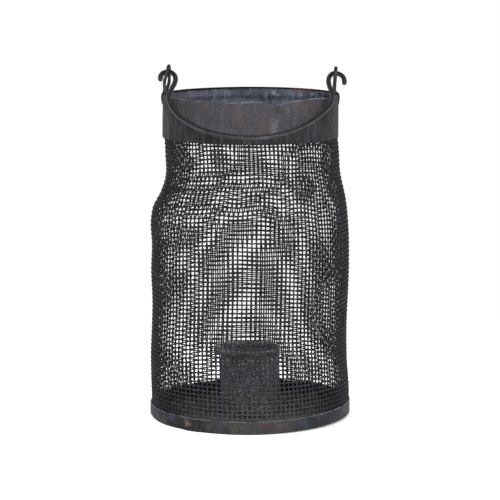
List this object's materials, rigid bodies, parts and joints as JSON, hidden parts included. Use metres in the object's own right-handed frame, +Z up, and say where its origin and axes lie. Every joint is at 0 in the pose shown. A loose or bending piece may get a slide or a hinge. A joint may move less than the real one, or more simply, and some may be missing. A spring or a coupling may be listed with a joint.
{
  "type": "candle lantern",
  "caption": "Woven wire candle lantern with a sheet-metal base pan and collar, a candle cup on its floor and a hooked swing handle on two wire ears",
  "frame": {"origin": "centre of the flat face that the lantern rests on", "axes": "+Z up along the lantern's centre line; +X to the right, through both ears; -Y the front, over which the bail rests"},
  "size_m": [0.19, 0.2012, 0.3321],
  "materials": {
    "sheet_iron": "satin",
    "wire_cloth": "matte",
    "forged_rod": "satin",
    "grainy_cup": "matte"
  },
  "bodies": {
    "lantern": {"base_disc": "sheet_iron", "base_band": "sheet_iron", "warp_wires": "wire_cloth", "weft_wires": "wire_cloth", "collar": "sheet_iron", "ear_left": "forged_rod", "ear_right": "forged_rod", "candle_cup": "grainy_cup"},
    "handle": {"bail": "forged_rod"}
  },
  "joints": [
    {"name": "bail_swing", "type": "hinge", "parent": "lantern", "child": "handle", "pos_m": [0, 0, 0.3243], "axis": [-1, 0, 0], "range_deg": [0, 232]}
  ]
}
